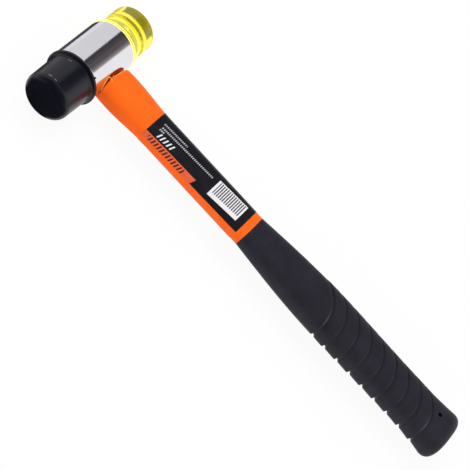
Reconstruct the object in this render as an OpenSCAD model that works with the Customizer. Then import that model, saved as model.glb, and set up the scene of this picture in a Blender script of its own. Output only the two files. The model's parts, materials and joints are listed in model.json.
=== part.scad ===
// Soft face hammer with two screw-in faces, lying on its side with the label cheek up.
// The head lies along X, with the rubber face at -X and the plastic face at +X.
// The handle lies along Y, with the head at +Y and the butt at -Y.
// Everything is drawn about the point where the head axis meets the handle axis,
// and place() then moves it so that the origin is under the middle of the bounding box.

/* [Head] */
// Outside diameter of the chromed barrel
barrel_d = 34.2; // [33:0.2:34.8]
// Length of the barrel, from face flange to face flange
barrel_len = 38; // [36:0.5:46]
// Wall of the barrel tube
barrel_wall = 3; // [2.4:0.1:4]
// Rounding of the barrel's end edges
barrel_edge = 0.8; // [0.4:0.1:1.4]
// Resin line between the handle core and the eye in the barrel's underside
eye_gap = 0.6; // [0.3:0.1:1.2]
// Resin between the handle core's line and each tapped plug in the barrel's ends
resin_wall = 2.4; // [1.5:0.1:3]

/* [Rubber face] */
// How far the rubber face's flange stands out past the barrel
rubber_lip = 0.7; // [0.3:0.1:3]
// Thickness of the rubber face's flange
rubber_flange_t = 1.8; // [1.6:0.1:3]
// Length of the rubber face, from its seat to its striking end
rubber_len = 27; // [22:0.5:34]
// Diameter of the rubber body beside its flange
rubber_root_d = 31.6; // [29:0.2:33]
// Diameter of the rubber body where its end rounding starts
rubber_end_d = 31; // [28:0.2:33]
// Rounding of the striking edge
rubber_edge = 4.5; // [2:0.1:6]
// Fillet from the flange into the rubber body
rubber_cove = 1.6; // [1:0.1:2]

/* [Plastic face] */
// How far the plastic face's flange stands out past the barrel
plastic_lip = 0.1; // [0:0.1:3]
// Thickness of the plastic face's flange
plastic_flange_t = 1.8; // [1.6:0.1:3]
// Length of the plastic face, from its seat to its striking end
plastic_len = 24; // [20:0.5:30]
// Diameter of the waist behind the striking head
plastic_waist_d = 28.4; // [26:0.2:29]
// Diameter of the striking head
plastic_head_d = 30.2; // [29.2:0.2:33]
// Length of the striking head
plastic_head_len = 11.5; // [9:0.5:13]
// Rounding of the striking head's outer edge
plastic_edge = 2; // [1:0.1:3.5]
// Fillet from the flange into the waist
plastic_cove = 2.4; // [1:0.1:3]

/* [Studs and washers] */
// Outside diameter of the stud thread
thread_d = 10; // [8:0.5:12]
// Pitch of the stud thread
thread_pitch = 1.5; // [1.25:0.25:1.75]
// Radial clearance between stud thread and tapped plug
thread_gap = 0.2; // [0.15:0.05:0.3]
// Gap between the tip of a stud and the inner end of its plug
stud_tip_gap = 0.5; // [0.3:0.1:2]
// Length of the smooth stud shank moulded into a face
shank_len = 8; // [6:0.5:9]
// Diameter of the anchor disc at the stud's moulded-in end
anchor_d = 18; // [15:0.5:22]
// Thickness of the anchor disc
anchor_t = 3; // [2:0.5:4]
// Outside diameter of the lock washer under a face
washer_d = 18; // [15:0.5:20]
// Thickness of the lock washer
washer_t = 1.4; // [1:0.1:1.7]

/* [Handle] */
// Distance from the head axis to the butt's end
handle_len = 307.4; // [290:0.2:340]
// Diameter of the fibreglass core
core_d = 12; // [9:0.5:13]
// Plastic of the jacket over the core where it is thinnest, inside the grip
tail_wall = 1.2; // [0.8:0.1:2]
// Plastic of the jacket beyond the core's lower end
tail_cap = 7.5; // [4:0.5:20]
// Width of the jacket where it meets the barrel
saddle_w = 24; // [22:0.5:26]
// Width of the jacket's shoulder below the barrel
shoulder_w = 26.4; // [25:0.2:30]
// Thickness of the jacket's shoulder
shoulder_t = 19; // [17:0.5:22]
// Distance from the barrel's underside to the widest part of the shoulder
shoulder_drop = 9; // [6:0.5:14]
// Width of the slim neck
neck_w = 22.5; // [22:0.1:25]
// Distance from the barrel's underside to the start of the slim neck
neck_drop = 41; // [36:1:60]

/* [Grip] */
// Length of the rubber grip, from its mouth to the butt's end
grip_len = 171.2; // [150:0.2:190]
// Wall of the grip at its mouth
grip_lip = 1.3; // [1:0.1:1.5]
// Width of the swell under the forefinger
swell_w = 30.8; // [28:0.2:36]
// Thickness of the swell
swell_t = 23; // [20:0.2:27]
// Distance from the butt's end to the swell
swell_from_butt = 102; // [95:1:115]
// Width of the palm stretch
palm_w = 29.2; // [27:0.2:34]
// Thickness of the palm stretch
palm_t = 22.6; // [20:0.2:26]
// Length of the slim stretch between the palm and the flare
palm_len = 12; // [4:1:30]
// Width of the flared butt
butt_w = 35.4; // [32:0.2:40]
// Thickness of the flared butt
butt_t = 25; // [22:0.2:30]
// Length of the flare, measured from the butt's end
flare_len = 33.5; // [24:0.5:36]
// Rounding of the butt's end
butt_round = 7; // [3:0.5:8]
// How far the butt leans to the front
butt_lean = 0.4; // [0:0.1:2]
// How far the inner tail of the jacket stays short of the butt's end
tail_short = 24; // [22:0.5:28]

/* [Grip grooves] */
// Number of curved grooves
groove_count = 9; // [7:1:9]
// Distance from the butt's end to the last groove, on the front edge
groove_from_butt = 15.5; // [13:0.5:20]
// Distance from the first groove to the last
groove_stretch = 86; // [70:1:90]
// Width of a groove
groove_w = 3.2; // [2:0.1:4]
// Depth of a groove on the front edge
groove_front = 1.2; // [0.6:0.1:1.4]
// Depth of a groove on the back edge
groove_back = 0.15; // [0.1:0.05:0.5]
// Radius of the arc that a groove follows across a cheek
groove_radius = 23; // [20:0.5:30]
// Distance of the arc's lowest point from the front edge
groove_apex = 1.5; // [0:0.5:5]
// How far the ribs stand out above the smooth neck of the grip on the back edge
rib_proud = 0.3; // [0.1:0.05:0.5]
// How far the ribs lie below the smooth neck of the grip on the front edge
rib_drop = 0.4; // [0:0.05:0.6]

/* [Hang hole] */
// Diameter of the hang hole through the butt
hole_d = 3; // [2:0.5:5]
// Distance of the hang hole from the butt's end
hole_from_butt = 14.7; // [11:0.1:18]
// Offset of the hang hole towards the back edge
hole_back = 2; // [0:0.5:4]

/* [Label] */
// Distance from the barrel's underside to the label's upper end
label_drop = 34.4; // [30:0.1:40]
// Bare band of the jacket between the label and the grip's mouth
label_band = 5.2; // [3:0.1:12]
// Thickness of the label film
label_t = 0.15; // [0.1:0.05:0.3]
// Bare strip that the label leaves along the front edge, in facets of the handle's outline
label_bare_facets = 4; // [2:2:12]

/* [Hidden] */

$fn = 96;
eps = 0.01;

// Glue line or moulding line between pieces that are fixed to each other
bond_gap = 0.05;
// Clearance of a washer round its stud and in its recess
washer_gap = 0.3;
// Clearance under the label film
label_gap = 0.03;
// Rounding of the flange edges of both faces
flange_edge = 0.4;
// Length of the plastic face's shoulder for each millimetre that it rises
shoulder_slope = 1.5;

barrel_r = barrel_d / 2;
bore_r = barrel_r - barrel_wall;
half_len = barrel_len / 2;
rubber_flange_r = barrel_r + rubber_lip;
plastic_flange_r = barrel_r + plastic_lip;
core_r = core_d / 2;
eye_r = core_r + eye_gap;
// Axial half length of the space between the tapped plugs
cavity_half = eye_r + resin_wall;
plug_len = half_len - cavity_half;
// The core's upper end stays inside the bore of the barrel
core_top = sqrt(pow(bore_r, 2) - pow(core_r, 2)) - eye_gap;

// Thread form: the flanks and flats of one pitch, as fractions of the pitch
thread_r = thread_d / 2;
thread_depth = 0.613 * thread_pitch;
thread_steps = 24;
stud_len = plug_len - stud_tip_gap;
root_end = 0.25;
crest_start = 0.56;
crest_end = 0.69;
// Plain length at the tip of a stud before its thread starts
stud_lead = 0.2;
stud_turns = floor((stud_len - stud_lead) / thread_pitch) - 1;
// A tap runs past both ends of its plug by this many turns
tap_over = 2;
tap_turns = ceil(plug_len / thread_pitch) + 2 * tap_over;

// Places along the handle, as distances from the head axis
shoulder_at = barrel_r + shoulder_drop;
neck_at = barrel_r + neck_drop;
// The jacket's outline starts inside the barrel and is cut away by it
jacket_start = shoulder_at / 3;
grip_at = handle_len - grip_len;
label_at = barrel_r + label_drop;
label_end = grip_at - label_band;
swell_at = handle_len - swell_from_butt;
flare_at = handle_len - flare_len;
palm_at = flare_at - palm_len;
round_at = handle_len - butt_round;
tail_end = handle_len - tail_short;
core_reach = tail_end - tail_cap;

// Half sizes of the handle's outline, as [half width along X, half thickness along Z]
neck_t = core_d + 2 * (tail_wall + grip_lip);
saddle_half = [saddle_w, shoulder_t] / 2;
shoulder_half = [shoulder_w, shoulder_t] / 2;
neck_half = [neck_w, neck_t] / 2;
swell_half = [swell_w, swell_t] / 2;
palm_half = [palm_w, palm_t] / 2;
butt_half = [butt_w, butt_t] / 2;
tail_half = neck_half - [grip_lip, grip_lip];
// Flat left between the rounded corners of the tail
tail_flat = 1;
tail_corner = tail_half[1] - tail_flat / 2;

// Roundness of the handle's outline: 2 is an ellipse, larger values are squarer
section_power = 2.5;
outline_points = 40;
label_facets = outline_points - label_bare_facets;

// Rings of the grip's skin
neck_rings = 12;
flare_rings = 7;
round_rings = 5;
groove_last = handle_len - groove_from_butt;
groove_at = groove_last - groove_stretch;
groove_pitch = groove_stretch / (groove_count - 1);
// A groove's section: offset along the grip as a share of its width, and share of its depth
groove_form = [[-0.5, 0], [-0.15, 1], [0.15, 1], [0.5, 0]];

// Rings of the jacket's skin
shoulder_rings = 9;
label_rings = 12;

module place() {
    translate(frame_shift) children();
}

// Stands a shape drawn along +Z on one end of the barrel: side 1 is +X, side -1 is -X
module on_end(side) {
    place() translate([side * half_len, 0, 0]) rotate([0, side * 90, 0]) children();
}

// Turns a shape drawn along +Z so that it runs from the head axis down the handle
module down_handle() {
    place() rotate([90, 0, 0]) children();
}

function clamp01(t) = min(1, max(0, t));
function mix(a, b, t) = a + (b - a) * t;
function ease(t) = pow(clamp01(t), 2) * (3 - 2 * clamp01(t));
function rise(t) = sin(90 * clamp01(t));
function signed_power(v, p) = sign(v) * pow(abs(v), p);

// A point of a squarish oval and its outward normal
function oval_point(half, angle) = [
    half[0] * signed_power(cos(angle), 2 / section_power),
    half[1] * signed_power(sin(angle), 2 / section_power)
];
function oval_normal(half, angle) =
    let (n = [
        signed_power(cos(angle), 2 - 2 / section_power) / half[0],
        signed_power(sin(angle), 2 - 2 / section_power) / half[1]
    ])
    n / norm(n);

function outline_angle(j) = 360 * j / outline_points;

// Outline of the jacket at a distance s from the head axis
function jacket_half(s) =
    s < shoulder_at
        ? mix(saddle_half, shoulder_half, rise((s - jacket_start) / (shoulder_at - jacket_start)))
        : mix(shoulder_half, neck_half, ease((s - shoulder_at) / (neck_at - shoulder_at)));

// Outline of the grip, without its grooves, at a distance s from the head axis
function grip_half(s) =
    s < swell_at ? mix(neck_half, swell_half, rise((s - grip_at) / (swell_at - grip_at)))
    : s < palm_at ? mix(swell_half, palm_half, ease((s - swell_at) / (palm_at - swell_at)))
    : mix(palm_half, butt_half, pow(clamp01((s - flare_at) / flare_len), 2));

// How far the end rounding draws the outline in at a distance s
function round_inset(s) =
    s <= round_at ? 0 : butt_round - sqrt(max(0, pow(butt_round, 2) - pow(s - round_at, 2)));

// Share of the groove's arc that a ring follows: none at the mouth and the butt, all between the grooves
function arc_share(s) =
    s < groove_at ? ease((s - grip_at) / (groove_at - groove_w - grip_at))
    : 1 - ease((s - groove_last - groove_w) / (round_at - groove_last - groove_w));

// A ring is [distance on the front edge, share of the groove depth, share of the rib's rise]
grip_rings = concat(
    [for (i = [0 : neck_rings - 1])
        [mix(grip_at + bond_gap, groove_at - groove_w, i / (neck_rings - 1)), 0, 0]],
    [for (g = [0 : groove_count - 1], p = [0 : len(groove_form) - 1])
        [groove_at + g * groove_pitch + groove_form[p][0] * groove_w, groove_form[p][1],
         g == 0 && p == 0 ? 0 : 1]],
    [for (i = [1 : flare_rings])
        [mix(groove_last + groove_w / 2, round_at, i / flare_rings), 0, 1 - i / flare_rings]],
    [for (i = [1 : round_rings])
        [round_at + butt_round * sin(90 * i / round_rings), 0, 0]]
);

function grip_point(ring, angle) =
    let (
        front = ring[0],
        x_guess = oval_point(grip_half(front), angle)[0],
        x_low = groove_apex - grip_half(front)[0],
        up = arc_share(front) * pow(max(0, x_guess - x_low), 2) / (2 * groove_radius),
        s = front - up,
        inset = round_inset(s),
        p = oval_point(grip_half(s) - [inset, inset], angle),
        frontness = pow((1 - cos(angle)) / 2, 1.5),
        groove = ring[1] * mix(groove_back, groove_front, frontness),
        rib = ring[2] * mix(rib_proud, -rib_drop, frontness),
        flared = pow(clamp01((s - flare_at) / flare_len), 2),
        q = p * (1 + (rib - groove) / norm(p))
    )
    [q[0] - flared * butt_lean, q[1], s];

function jacket_point(s, angle) =
    let (p = oval_point(jacket_half(s), angle))
    [p[0], p[1], s];

// The origin is under the middle of the bounding box
head_reach = max(rubber_flange_r, plastic_flange_r, barrel_r);
frame_shift = [(rubber_len - plastic_len) / 2, (handle_len - head_reach) / 2, head_reach];

function mean_point(ring) = [for (p = ring) 1] * ring / len(ring);

// Closed solid through a list of rings that all have the same number of points
module skin(rings) {
    count = len(rings[0]);
    last = len(rings) - 1;
    points = concat([for (ring = rings, p = ring) p], [mean_point(rings[0]), mean_point(rings[last])]);
    first_centre = count * len(rings);
    polyhedron(points, concat(
        [for (i = [0 : last - 1], j = [0 : count - 1])
            [i * count + j, (i + 1) * count + j, (i + 1) * count + (j + 1) % count]],
        [for (i = [0 : last - 1], j = [0 : count - 1])
            [i * count + j, (i + 1) * count + (j + 1) % count, i * count + (j + 1) % count]],
        [for (j = [0 : count - 1]) [first_centre, j, (j + 1) % count]],
        [for (j = [0 : count - 1]) [first_centre + 1, last * count + (j + 1) % count, last * count + j]]
    ));
}

// Threaded rod along Z from z0 to z1 with a right-hand thread that fades out at both ends.
// The thread starts at z_first, so rods with the same start, less whole pitches, run in each other.
module threaded_rod(z0, z1, z_first, turns, outer_r) {
    n = thread_steps;
    k_end = n * turns;
    inner_r = outer_r - thread_depth;
    offsets = [0, root_end, crest_start, crest_end];
    crest = [0, 0, 1, 1];
    m = len(offsets);
    function fade(k) = clamp01(min(k, k_end - k) / (n / 2));
    function helix_point(k, j) =
        let (r = mix(inner_r, outer_r, crest[j] * fade(k)), a = 360 * k / n)
        [r * cos(a), r * sin(a), z_first + thread_pitch * (k / n + offsets[j])];
    function rim_point(i, z) = [inner_r * cos(360 * i / n), inner_r * sin(360 * i / n), z];
    // Four profile points per step, then one more turn of the lowest profile point
    function at(k, j) = j == m ? at(k + n, 0) : k <= k_end ? k * m + j : (k_end + 1) * m + k - k_end - 1;
    low = (k_end + 1) * m + n;
    high = low + n;
    points = concat(
        [for (k = [0 : k_end], j = [0 : m - 1]) helix_point(k, j)],
        [for (k = [k_end + 1 : k_end + n]) helix_point(k, 0)],
        [for (i = [0 : n - 1]) rim_point(i, z0)],
        [for (i = [0 : n - 1]) rim_point(i, z1)]
    );
    polyhedron(points, concat(
        [for (k = [0 : k_end - 1], j = [0 : m - 1]) [at(k, j), at(k + 1, j + 1), at(k + 1, j)]],
        [for (k = [0 : k_end - 1], j = [0 : m - 1]) [at(k, j), at(k, j + 1), at(k + 1, j + 1)]],
        [for (i = [0 : n - 2]) [low + i, at(i + 1, 0), low + i + 1]],
        [for (i = [0 : n - 2]) [low + i, at(i, 0), at(i + 1, 0)]],
        [[low, low + n - 1, at(n - 1, 0)]],
        [for (j = [0 : m - 1]) [at(0, j), j == 0 ? low : at(0, j - 1), at(n - 1, 0)]],
        [[at(n, 0), at(0, m - 1), at(n - 1, 0)]],
        [for (i = [1 : n - 1]) [at(k_end + i, 0), high + i, high + (i + 1) % n]],
        [for (i = [1 : n - 1]) [at(k_end + i, 0), high + (i + 1) % n, at(k_end + i + 1, 0)]],
        [for (j = [0 : m - 1]) [at(k_end + 1, 0), at(k_end, j), at(k_end, j + 1)]],
        [[at(k_end + 1, 0), at(k_end + n, 0), high]],
        [[at(k_end + 1, 0), high, high + 1]],
        [[for (i = [0 : n - 1]) low + i]],
        [[for (i = [0 : n - 1]) high + n - 1 - i]]
    ));
}

// Half profile of a disc from height h0 to h1, with both outer edges rounded by e
module disc_profile(r, h0, h1, e) {
    translate([0, h0]) square([r - e, h1 - h0]);
    translate([0, h0 + e]) square([r, h1 - h0 - 2 * e]);
    for (h = [h0 + e, h1 - e]) translate([r - e, h]) circle(e);
}

// Half profile of a concave fillet of radius e from a flange's face at height h into a body of radius r
module cove_profile(r, h, e) {
    difference() {
        translate([0, h - eps]) square([r + e, e]);
        translate([r + e, h + e]) circle(e);
    }
}

// Half profile of a stud moulded into a face, grown by g: shank and anchor disc
module stud_pocket_profile(g) {
    translate([0, -eps]) square([thread_r + g, shank_len + anchor_t / 2]);
    translate([0, shank_len - g]) square([anchor_d / 2 + g, anchor_t + 2 * g]);
}

module face_pocket() {
    rotate_extrude() stud_pocket_profile(bond_gap);
    translate([0, 0, -eps]) cylinder(r = washer_d / 2 + washer_gap, h = washer_t + eps);
}

module stud() {
    rotate_extrude() difference() {
        stud_pocket_profile(0);
        translate([0, -1]) square([thread_d, 1]);
    }
    threaded_rod(-stud_len, shank_len / 2, stud_lead - stud_len, stud_turns, thread_r - eps);
}

module washer() {
    difference() {
        cylinder(r = washer_d / 2, h = washer_t);
        translate([0, 0, -1]) cylinder(r = thread_r + washer_gap, h = washer_t + 2);
    }
}

module plug() {
    difference() {
        translate([0, 0, -plug_len]) cylinder(r = bore_r - bond_gap, h = plug_len);
        threaded_rod(
            -plug_len - (tap_over + 1) * thread_pitch, (tap_over + 1) * thread_pitch,
            stud_lead - stud_len - tap_over * thread_pitch, tap_turns, thread_r + thread_gap
        );
    }
}

// Rounded block along Z with the section of the jacket's inner tail, grown by g
module tail_block(g, s0, s1) {
    half = tail_half + [g, g];
    corner = tail_corner + g;
    translate([0, 0, s0]) linear_extrude(s1 - s0) {
        square([2 * half[0], 2 * (half[1] - corner)], center = true);
        square([2 * (half[0] - corner), 2 * half[1]], center = true);
        for (x = [-1, 1], z = [-1, 1])
            translate([x * (half[0] - corner), z * (half[1] - corner)]) circle(corner);
    }
}

module core_hole(g) {
    translate([0, 0, -core_top - g]) cylinder(r = core_r + g, h = core_top + core_reach + 2 * g);
}

module head_barrel() color([0.8, 0.8, 0.83]) place() difference() {
    translate([-half_len, 0, 0]) rotate([0, 90, 0])
        rotate_extrude() difference() {
            disc_profile(barrel_r, 0, barrel_len, barrel_edge);
            translate([0, -1]) square([bore_r, barrel_len + 2]);
        }
    rotate([90, 0, 0]) cylinder(r = eye_r, h = barrel_d);
}

module rubber_side_plug() color([0.55, 0.56, 0.58]) on_end(-1) plug();

module plastic_side_plug() color([0.55, 0.56, 0.58]) on_end(1) plug();

// Resin that fills the barrel round the core and the gap in the eye
module epoxy_potting() color([0.75, 0.68, 0.45]) place() difference() {
    union() {
        rotate([0, 90, 0]) cylinder(r = bore_r - bond_gap, h = 2 * (cavity_half - bond_gap), center = true);
        rotate([90, 0, 0])
            cylinder(r = eye_r - bond_gap, h = sqrt(pow(barrel_r, 2) - pow(eye_r, 2)) - bond_gap);
    }
    rotate([90, 0, 0]) core_hole(bond_gap);
}

module handle_core() color([0.85, 0.8, 0.6]) down_handle() core_hole(0);

module handle_jacket() color([1, 0.43, 0.12]) down_handle() difference() {
    union() {
        skin([for (s = jacket_stations)
            [for (j = [0 : outline_points - 1]) jacket_point(s, outline_angle(j))]]);
        tail_block(0, grip_at - 1, tail_end);
    }
    core_hole(bond_gap);
    rotate([0, 90, 0]) cylinder(r = barrel_r + bond_gap, h = 3 * shoulder_w, center = true);
}

// Stations of the jacket's skin: the shoulder, the label's stretch and the band above the grip
jacket_stations = concat(
    [for (i = [0 : shoulder_rings - 1]) mix(jacket_start, label_at, i / shoulder_rings)],
    [for (i = [0 : label_rings]) mix(label_at, label_end, i / label_rings)],
    [grip_at]
);

module grip_sleeve() color([0.16, 0.16, 0.19]) down_handle() difference() {
    skin([for (ring = grip_rings)
        [for (j = [0 : outline_points - 1]) grip_point(ring, outline_angle(j))]]);
    tail_block(bond_gap, grip_at - 1, tail_end + bond_gap);
    translate([hole_back, 0, handle_len - hole_from_butt]) rotate([90, 0, 0])
        cylinder(r = hole_d / 2, h = 2 * butt_t, center = true);
}

// Film that wraps the neck from one side of the front edge round the back to the other side
module label_film() {
    first = label_bare_facets / 2 - outline_points / 2;
    across = label_facets + 1;
    function film_point(i, j, lift) =
        let (
            s = mix(label_at, label_end, i / label_rings),
            angle = outline_angle(first + j),
            p = oval_point(jacket_half(s), angle) + oval_normal(jacket_half(s), angle) * lift
        )
        [p[0], p[1], s];
    function at(i, j, layer) = (layer * (label_rings + 1) + i) * across + j;
    points = [
        for (lift = [label_gap, label_gap + label_t], i = [0 : label_rings], j = [0 : label_facets])
            film_point(i, j, lift)
    ];
    // Two triangles for each patch of the outer and inner skins, then the four edges
    faces = concat(
        [for (i = [0 : label_rings - 1], j = [0 : label_facets - 1], half = [0, 1])
            [at(i, j, 1), at(i + 1, j + half, 1), at(i + 1 - half, j + 1, 1)]],
        [for (i = [0 : label_rings - 1], j = [0 : label_facets - 1], half = [0, 1])
            [at(i, j, 0), at(i + 1 - half, j + 1, 0), at(i + 1, j + half, 0)]],
        [for (i = [0 : label_rings - 1], half = [0, 1])
            [at(i, 0, 0), at(i + 1, 0, half), at(i + 1 - half, 0, 1)]],
        [for (i = [0 : label_rings - 1], half = [0, 1])
            [at(i, label_facets, 0), at(i + 1 - half, label_facets, 1), at(i + 1, label_facets, half)]],
        [for (j = [0 : label_facets - 1], half = [0, 1])
            [at(0, j, 0), at(0, j + 1 - half, 1), at(0, j + 1, half)]],
        [for (j = [0 : label_facets - 1], half = [0, 1])
            [at(label_rings, j, 0), at(label_rings, j + 1, half), at(label_rings, j + 1 - half, 1)]]
    );
    color([0.11, 0.11, 0.12]) down_handle() polyhedron(points, faces);
}

// Rubber face: coved flange, slightly tapered body and rounded striking edge
module rubber_face() color([0.13, 0.13, 0.15]) on_end(-1) difference() {
    root_r = rubber_root_d / 2;
    end_r = rubber_end_d / 2;
    cove = min(rubber_cove, rubber_flange_r - flange_edge - root_r);
    rotate_extrude() {
        disc_profile(rubber_flange_r, 0, rubber_flange_t, flange_edge);
        cove_profile(root_r, rubber_flange_t, cove);
        polygon([
            [0, 0],
            [root_r, 0],
            [root_r, rubber_flange_t + cove],
            [end_r, rubber_len - rubber_edge],
            [end_r - rubber_edge, rubber_len],
            [0, rubber_len]
        ]);
        translate([end_r - rubber_edge, rubber_len - rubber_edge]) circle(rubber_edge);
    }
    face_pocket();
}

module rubber_face_stud() color([0.6, 0.6, 0.62]) on_end(-1) stud();

module rubber_face_washer() color([0.65, 0.65, 0.66]) on_end(-1) washer();

// Plastic face: flange, coved waist and striking head, like a spool
module plastic_face() color([0.95, 0.9, 0.15, 0.85]) on_end(1) difference() {
    waist_r = plastic_waist_d / 2;
    head_r = plastic_head_d / 2;
    shoulder_h = plastic_len - plastic_head_len;
    shoulder_foot = shoulder_h - shoulder_slope * (head_r - waist_r);
    cove = min(plastic_cove, plastic_flange_r - flange_edge - waist_r);
    rotate_extrude() {
        disc_profile(plastic_flange_r, 0, plastic_flange_t, flange_edge);
        cove_profile(waist_r, plastic_flange_t, cove);
        polygon([
            [0, 0],
            [waist_r, 0],
            [waist_r, shoulder_foot],
            [head_r, shoulder_h],
            [head_r, plastic_len - plastic_edge],
            [head_r - plastic_edge, plastic_len],
            [0, plastic_len]
        ]);
        translate([head_r - plastic_edge, plastic_len - plastic_edge]) circle(plastic_edge);
    }
    face_pocket();
}

module plastic_face_stud() color([0.6, 0.6, 0.62]) on_end(1) stud();

module plastic_face_washer() color([0.65, 0.65, 0.66]) on_end(1) washer();

head_barrel();
rubber_side_plug();
plastic_side_plug();
epoxy_potting();
handle_core();
handle_jacket();
grip_sleeve();
label_film();
rubber_face();
rubber_face_stud();
rubber_face_washer();
plastic_face();
plastic_face_stud();
plastic_face_washer();
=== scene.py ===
# %% [markdown]
# # A soft face hammer, dressed for the studio
# The hammer lies on its side, with its head along X and its handle along Y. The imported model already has
# every solid at its real size and every joint, so it is loaded as a fixed frame. What is left for Blender
# is the looks: finer skins for the handle, a clear yellow face, and a finish for each piece.

# %% The frame
import json
import math

import bmesh
import bpy
import numpy as np
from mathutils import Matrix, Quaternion, Vector

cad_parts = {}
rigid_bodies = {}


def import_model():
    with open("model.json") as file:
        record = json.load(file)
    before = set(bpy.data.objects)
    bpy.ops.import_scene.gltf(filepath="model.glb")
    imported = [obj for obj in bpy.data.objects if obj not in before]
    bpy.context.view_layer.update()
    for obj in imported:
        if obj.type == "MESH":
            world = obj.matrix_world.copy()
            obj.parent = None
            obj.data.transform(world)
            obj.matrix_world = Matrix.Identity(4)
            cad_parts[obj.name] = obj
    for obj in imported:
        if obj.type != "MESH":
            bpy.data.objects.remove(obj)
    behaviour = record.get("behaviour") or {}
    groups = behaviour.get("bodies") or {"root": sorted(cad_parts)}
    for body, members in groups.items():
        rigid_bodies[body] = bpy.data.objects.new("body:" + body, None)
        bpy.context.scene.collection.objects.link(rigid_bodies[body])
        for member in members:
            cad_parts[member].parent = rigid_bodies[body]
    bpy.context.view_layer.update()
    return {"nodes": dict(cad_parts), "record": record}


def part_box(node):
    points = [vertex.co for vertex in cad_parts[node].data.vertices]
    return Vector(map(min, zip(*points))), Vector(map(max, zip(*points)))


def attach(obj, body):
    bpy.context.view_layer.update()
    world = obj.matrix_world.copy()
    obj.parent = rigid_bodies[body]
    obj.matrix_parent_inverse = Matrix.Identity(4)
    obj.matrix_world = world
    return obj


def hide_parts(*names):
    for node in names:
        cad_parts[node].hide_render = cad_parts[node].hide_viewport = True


for leftover in list(bpy.data.objects):
    bpy.data.objects.remove(leftover)
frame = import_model()
bpy.context.scene.view_settings.view_transform = "Standard"
print("nodes:", len(frame["nodes"]))

# %% [markdown]
# ## Measuring from the frame
# Blender works in metres, but a hammer is easier to think of in millimetres. The barrel's box gives the
# point where the head axis meets the handle axis, and everything is measured from there. Along the
# handle, s is the distance from the head axis towards the butt, which is how far y goes down.

# %% Places in millimetres
MM = 0.001


def box_mm(node):
    """Lowest and highest corner of a node, in millimetres."""
    low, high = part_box(node)
    return np.array(low) / MM, np.array(high) / MM


barrel_low, barrel_high = box_mm("head_barrel")
grip_low, grip_high = box_mm("grip_sleeve")
film_low, film_high = box_mm("label_film")
HEAD = (barrel_low + barrel_high) / 2
BARREL_R = (barrel_high[2] - barrel_low[2]) / 2
BARREL_HALF = (barrel_high[0] - barrel_low[0]) / 2
GRIP_AT = HEAD[1] - grip_high[1]
BUTT_AT = HEAD[1] - grip_low[1]
LABEL_AT = HEAD[1] - film_high[1]
LABEL_END = HEAD[1] - film_low[1]


def points_at(x, y, z):
    """Points from their x, y and z, each an array or one number for all."""
    return np.stack(np.broadcast_arrays(x, y, z), axis=-1)


def on_handle(x, z, s):
    """Points of the handle in the frame, from x and z across it and s down it."""
    return points_at(HEAD[0] + x, HEAD[1] - s, HEAD[2] + z)


def full_turn(count):
    """Angles of evenly spaced points round a circle."""
    return np.linspace(0.0, 2 * math.pi, count, endpoint=False)


print(f"barrel {2 * BARREL_R:.1f} x {2 * BARREL_HALF:.1f} mm, head axis at {HEAD.round(2)}")
print(f"label {LABEL_AT:.1f} to {LABEL_END:.1f}, grip {GRIP_AT:.1f} to {BUTT_AT:.1f} mm down the handle")

# %% [markdown]
# ## One helper for every skin
# A handle or a turned piece is a stack of rings, each with the same number of points. Joining
# neighbouring rings with quads gives an even mesh that shades well, and it needs no modelling by hand. A
# ring that shrinks to one point closes an end, because points at one place are merged.

# %% Skins from rings
SHARP_ANGLE = math.radians(50)
MERGE = 1e-7


def skin(name, rings, closed=True):
    """A smooth mesh object through rings of points in millimetres."""
    rings = np.asarray(rings, dtype=float)
    rows, count = rings.shape[:2]
    mesh = bpy.data.meshes.new(name)
    columns = range(count if closed else count - 1)
    faces = [
        (row * count + j, row * count + (j + 1) % count,
         (row + 1) * count + (j + 1) % count, (row + 1) * count + j)
        for row in range(rows - 1)
        for j in columns
    ]
    mesh.from_pydata((rings.reshape(-1, 3) * MM).tolist(), [], faces)
    mesh.polygons.foreach_set("use_smooth", [True] * len(mesh.polygons))
    piece = bpy.data.objects.new(name, mesh)
    bpy.context.scene.collection.objects.link(piece)
    return piece


def weld(piece):
    """Merges the points at closed ends, turns all faces outward and marks the sharp edges."""
    work = bmesh.new()
    work.from_mesh(piece.data)
    bmesh.ops.remove_doubles(work, verts=work.verts, dist=MERGE)
    bmesh.ops.recalc_face_normals(work, faces=work.faces)
    work.to_mesh(piece.data)
    work.free()
    piece.data.set_sharp_from_angle(angle=SHARP_ANGLE)
    return piece


def paint(piece, material):
    """Gives a piece one finish in place of any other."""
    piece.data.materials.clear()
    piece.data.materials.append(material)


def settle(piece, material, body, slot, *nodes):
    """Gives a piece its finish, its body and the nodes that it stands for."""
    paint(piece, material)
    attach(piece, body)
    if nodes:
        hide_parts(*nodes)
    print(f"{piece.name}: on {body}, for {', '.join(nodes) or 'no node'}")


print(f"edges over {math.degrees(SHARP_ANGLE):.0f} degrees stay sharp")


# %% [markdown]
# ## Shader nodes in short words
# Each finish below is a small tree of nodes. These helpers add one node in one line and wire its inputs,
# so that the lesson can say what a finish is made of and not how sockets are joined.


# %% Node helpers
def feed(tree, socket, value):
    """Wires a socket to another one, or sets its value."""
    if isinstance(value, bpy.types.NodeSocket):
        tree.links.new(value, socket)
    else:
        socket.default_value = value


def fill(tree, node, **inputs):
    """Fills inputs of a node by their names. An underscore stands for a space."""
    for label, value in inputs.items():
        feed(tree, node.inputs[label.replace("_", " ")], value)
    return node


def put(tree, kind, options=None, **inputs):
    """Adds a node, sets its options and fills its inputs."""
    made = tree.nodes.new(kind)
    for key, value in (options or {}).items():
        setattr(made, key, value)
    return fill(tree, made, **inputs)


def first_output(tree, kind, options, *values):
    """The first output of a new node, whose inputs are filled in order."""
    made = put(tree, kind, options)
    for socket, value in zip(made.inputs, values):
        feed(tree, socket, value)
    return made.outputs[0]


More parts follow.
